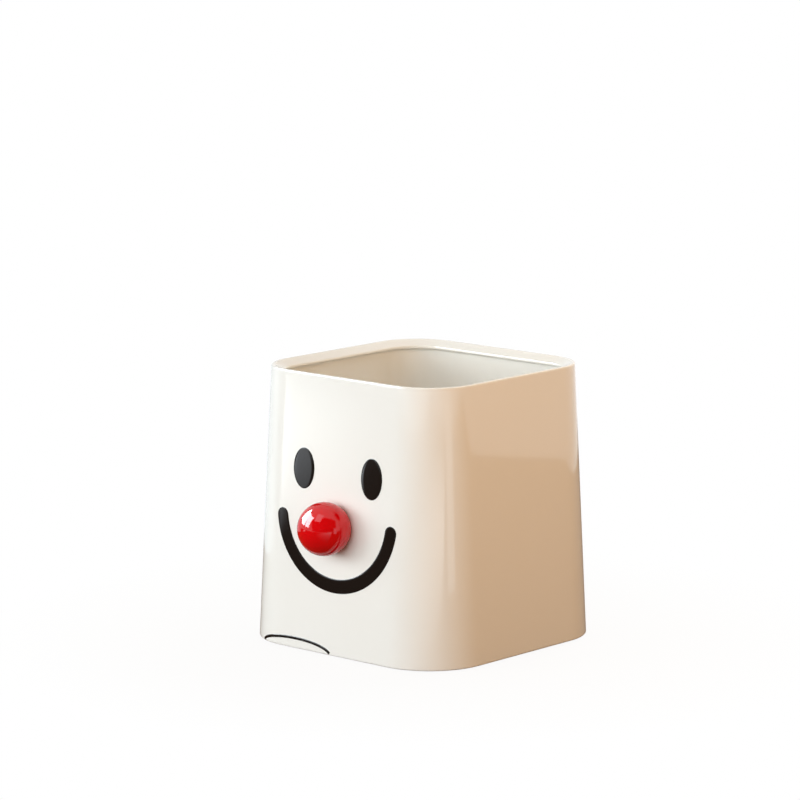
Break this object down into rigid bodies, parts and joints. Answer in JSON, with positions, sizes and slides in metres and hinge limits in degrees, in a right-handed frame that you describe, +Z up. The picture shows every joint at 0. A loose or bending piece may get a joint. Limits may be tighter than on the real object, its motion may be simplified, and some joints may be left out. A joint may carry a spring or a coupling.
{
  "type": "pen holder",
  "caption": "Square, round-cornered desk cup that widens towards its foot, with a ball nose and a smiling printed front, for standing pens, pencils and scissors in.",
  "frame": {"origin": "middle of the footprint on the desk, on the plane of the four feet's treads", "axes": "+Z up, the face looks along -Y, +X to the viewer's right"},
  "size_m": [0.122, 0.1389, 0.125],
  "materials": {
    "cream_shell": "glossy moulded cream plastic",
    "cream_base": "satin moulded cream plastic",
    "foot_rubber": "matt black anti-slip rubber",
    "red_nose": "glossy red lacquered ball",
    "plated_steel": "bright plated steel",
    "black_film": "glossy black printed film"
  },
  "bodies": {
    "root": {"body_shell": "cream_shell", "base_pan": "cream_base", "foot_front_left": "foot_rubber", "foot_front_right": "foot_rubber", "foot_rear_left": "foot_rubber", "foot_rear_right": "foot_rubber", "nose_ball": "red_nose", "nose_washer": "plated_steel", "nose_screw": "plated_steel", "left_eye_decal": "black_film", "right_eye_decal": "black_film", "smile_decal": "black_film", "arch_decal": "black_film"}
  },
  "joints": []
}
